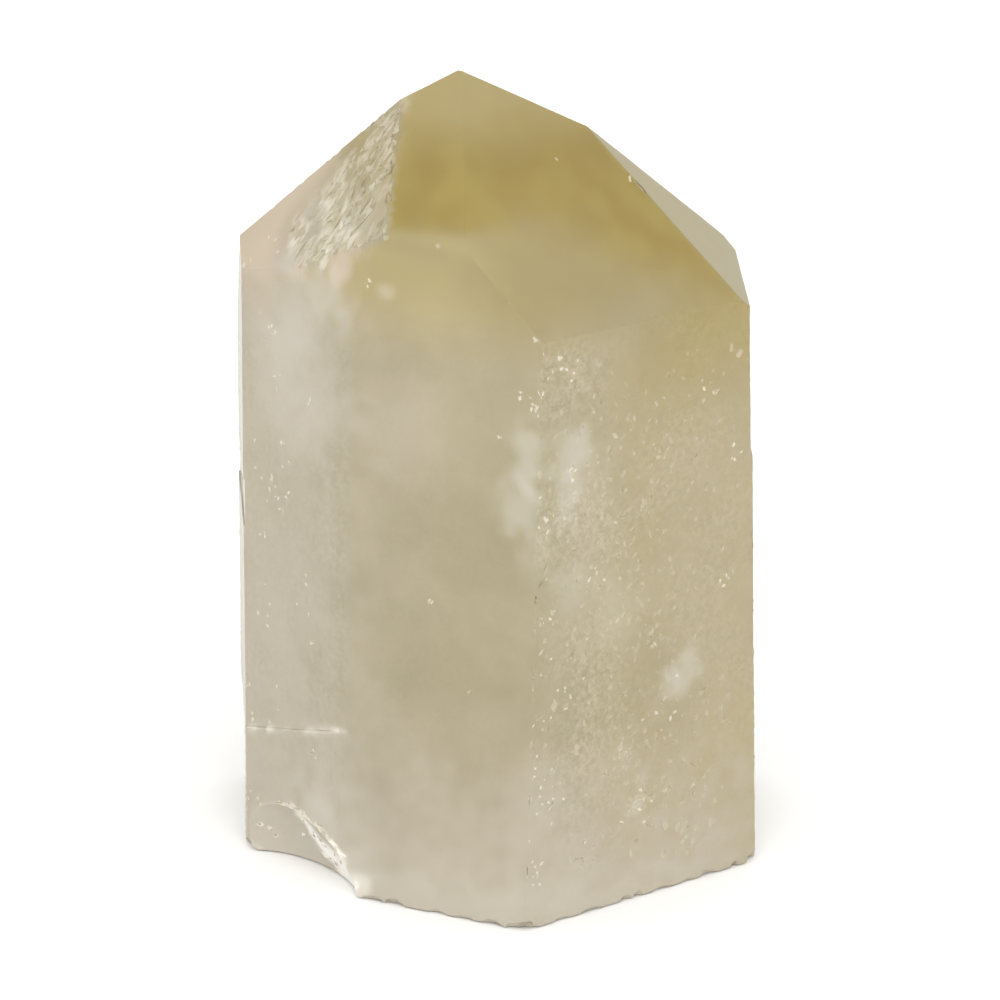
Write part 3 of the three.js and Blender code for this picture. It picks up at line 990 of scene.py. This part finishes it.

# Sugar on the etched faces: a pale crust of crumbs with bright specks, thick in some places and thin in
# others. The bright specks are pale crumbs and also painted glints.
CRUMB = 0.7  # mm
crumbs = add_node(tree, "ShaderNodeTexNoise", {
    "Vector": in_mm, "Scale": 1 / CRUMB, "Detail": 2, "Roughness": 0.75}).outputs["Fac"]
crumb_share = add_node(tree, "ShaderNodeMapRange", {
    "Value": crumbs, "From Min": 0.38, "From Max": 0.62}).outputs[0]
crust = add_node(tree, "ShaderNodeMix", {
    0: crumb_share, 6: linear("#A39977"), 7: linear("#D7CEB5")}, data_type="RGBA").outputs[2]
# the bright specks: pale crumbs, and painted glints where the sugar sparkles
specks = add_node(tree, "ShaderNodeMapRange", {
    "Value": crumbs, "From Min": 0.66, "From Max": 0.74, "To Min": 0.6, "To Max": 1.0}).outputs[0]
crust_share = add_node(tree, "ShaderNodeMath", {
    0: specks, 1: lies["crumbly"]}, operation="MULTIPLY").outputs[0]
body = add_node(tree, "ShaderNodeMix", {0: crust_share, 6: body, 7: crust}, data_type="RGBA").outputs[2]

# The sides of pits, pale where they broke fresh. On the nicks that near white is also painted glints.
broken_colour = add_node(tree, "ShaderNodeMix", {
    0: lies["pale_break_and_glint"], 6: linear("#9C916F"), 7: linear("#E4DECD")}, data_type="RGBA").outputs[2]

# The clouds are laid over the body, each over the ones before it: which, how strongly, and its colour.
LAYERS = [
    ("straw", 1.0, linear("#C6B57A")),
    ("gold", 1.0, golden),
    # smoke, and painted shade on the right half of the front
    ("smoke_and_painted_shade", 0.8, linear("#A0956B")),
    ("milk_and_painted_light", 1.0, linear("#D9D0BE")),
    ("blush", 1.0, linear("#E3D0B4")),
    ("flaky", 0.8, flaky_colour),
    ("veil_and_painted_light", 1.0, linear("#D0CBC1")),
    ("pit", 0.85, broken_colour),
    ("bruise", 0.9, linear("#F6F3EC")),
    ("matt", 0.75, linear("#8C8158")),
]
for name, strength, colour in LAYERS:
    share = add_node(tree, "ShaderNodeMath", {0: lies[name], 1: strength}, operation="MULTIPLY").outputs[0]
    body = add_node(tree, "ShaderNodeMix", {0: share, 6: body, 7: colour}, data_type="RGBA").outputs[2]

# What is too fine for the mesh: the grain of the etched faces, how wide and deep in mm.
FINE_GRAIN = (0.35, 0.06)
grain = add_node(tree, "ShaderNodeTexNoise", {
    "Vector": in_mm, "Scale": 1 / FINE_GRAIN[0], "Detail": 1, "Roughness": 0.6}).outputs["Fac"]
grain_height = add_node(tree, "ShaderNodeMath", {
    0: grain, 1: lies["sugary"]}, operation="MULTIPLY").outputs[0]
fine_relief = add_node(tree, "ShaderNodeBump", {
    "Height": grain_height, "Distance": FINE_GRAIN[1] * MM}).outputs[0]

# Its bubbles frost it and let half of the light through. Clouds, flakes and broken skin let less through:
# the share that each leaves.
LEFT_CLEAR = [("veil_and_painted_light", 0.45), ("flaky", 0.55), ("pit", 0.5), ("bruise", 0.15), ("matt", 0.4)]
clear_share = 0.5
for name, kept in LEFT_CLEAR:
    through = add_node(tree, "ShaderNodeMapRange", {
        "Value": lies[name], "To Min": 1.0, "To Max": kept}).outputs[0]
    clear_share = add_node(tree, "ShaderNodeMath", {
        0: clear_share, 1: through}, operation="MULTIPLY").outputs[0]
frost = add_node(tree, "ShaderNodeMapRange", {
    "Value": lies["flaky"], "To Min": 0.38, "To Max": 0.5}).outputs[0]
gloss = add_node(tree, "ShaderNodeMapRange", {
    "Value": lies["matt"], "To Min": 0.35, "To Max": 0.0}).outputs[0]
surface = add_node(tree, "ShaderNodeBsdfPrincipled", {
    "Base Color": body,
    "Roughness": frost,
    "IOR": 1.544,
    "Transmission Weight": clear_share,
    "Coat Weight": gloss,
    "Coat Roughness": 0.06,
    "Coat IOR": 1.544,
    "Normal": fine_relief,
})
absorb = add_node(tree, "ShaderNodeVolumeAbsorption", {"Color": linear("#E8D9A4"), "Density": 14.0})
add_node(tree, "ShaderNodeOutputMaterial", {"Surface": surface.outputs[0], "Volume": absorb.outputs[0]})
mesh.materials.append(milky_quartz)

# ---------------------------------------------------------------- the paper it stands on, and the light
# A sheet of matt white paper lies under the crystal. The light is soft: a white room lights it from all
# sides, and one large lamp shines on it from the front and above.

PAPER_REACH = 3.0    # m from the crystal to each side of the sheet
PAPER_BELOW = 0.2    # mm that the crystal stands clear of it
paper_corners = [(x * PAPER_REACH, y * PAPER_REACH, 0) for x, y in [(-1, -1), (1, -1), (1, 1), (-1, 1)]]
paper_mesh = bpy.data.meshes.new("paper")
paper_mesh.from_pydata(paper_corners, [], [(0, 1, 2, 3)])
paper_sheet = bpy.data.objects.new("paper", paper_mesh)
paper_sheet.location.z = -PAPER_BELOW * MM
bpy.context.scene.collection.objects.link(paper_sheet)
white_paper = bpy.data.materials.new("matt paper")
white_paper.use_nodes = True
paper_tree = white_paper.node_tree
paper_tree.nodes["Principled BSDF"].inputs["Base Color"].default_value = linear("#F6F6F5")
paper_tree.nodes["Principled BSDF"].inputs["Roughness"].default_value = 0.9
paper_mesh.materials.append(white_paper)

ROOM_LIGHT = 1.15
room = bpy.data.worlds.new("white room")
room.use_nodes = True
room.node_tree.nodes["Background"].inputs["Color"].default_value = (1, 1, 1, 1)
room.node_tree.nodes["Background"].inputs["Strength"].default_value = ROOM_LIGHT
bpy.context.scene.world = room

LAMP_WIDTH = 0.7                  # m
LAMP_POWER = 4                    # W
LAMP_PLACE = (0.03, -0.75, 0.75)
LAMP_AIM = Vector((0, 0, 0.04))
lamp_light = bpy.data.lights.new("soft lamp", "AREA")
lamp_light.shape = "SQUARE"
lamp_light.size = LAMP_WIDTH
lamp_light.energy = LAMP_POWER
lamp = bpy.data.objects.new("soft lamp", lamp_light)
lamp.location = LAMP_PLACE
lamp.rotation_euler = (LAMP_AIM - lamp.location).to_track_quat("-Z", "Y").to_euler()
bpy.context.scene.collection.objects.link(lamp)

# ---------------------------------------------------------------- the camera
# It looks at the crystal from straight in front, a little from above, through a long lens that keeps the
# upright edges nearly parallel. Colours are shown as they are.

CAMERA_AIM = Vector((0.0006, 0, 0.03666))
CAMERA_DISTANCE = 0.619
CAMERA_RISE = math.radians(20.8)
SEEN_WIDTH = 0.10547  # m: the width of the view at the aim
SENSOR = 36           # mm
camera_data = bpy.data.cameras.new("camera")
camera_data.sensor_width = SENSOR
camera_data.lens = SENSOR * CAMERA_DISTANCE / SEEN_WIDTH
camera_data.clip_start = 0.01
camera = bpy.data.objects.new("camera", camera_data)
back = Vector((0, -math.cos(CAMERA_RISE), math.sin(CAMERA_RISE)))
camera.location = CAMERA_AIM + CAMERA_DISTANCE * back
camera.rotation_euler = (math.pi / 2 - CAMERA_RISE, 0, 0)
bpy.context.scene.collection.objects.link(camera)
bpy.context.scene.camera = camera
bpy.context.scene.view_settings.view_transform = "Standard"
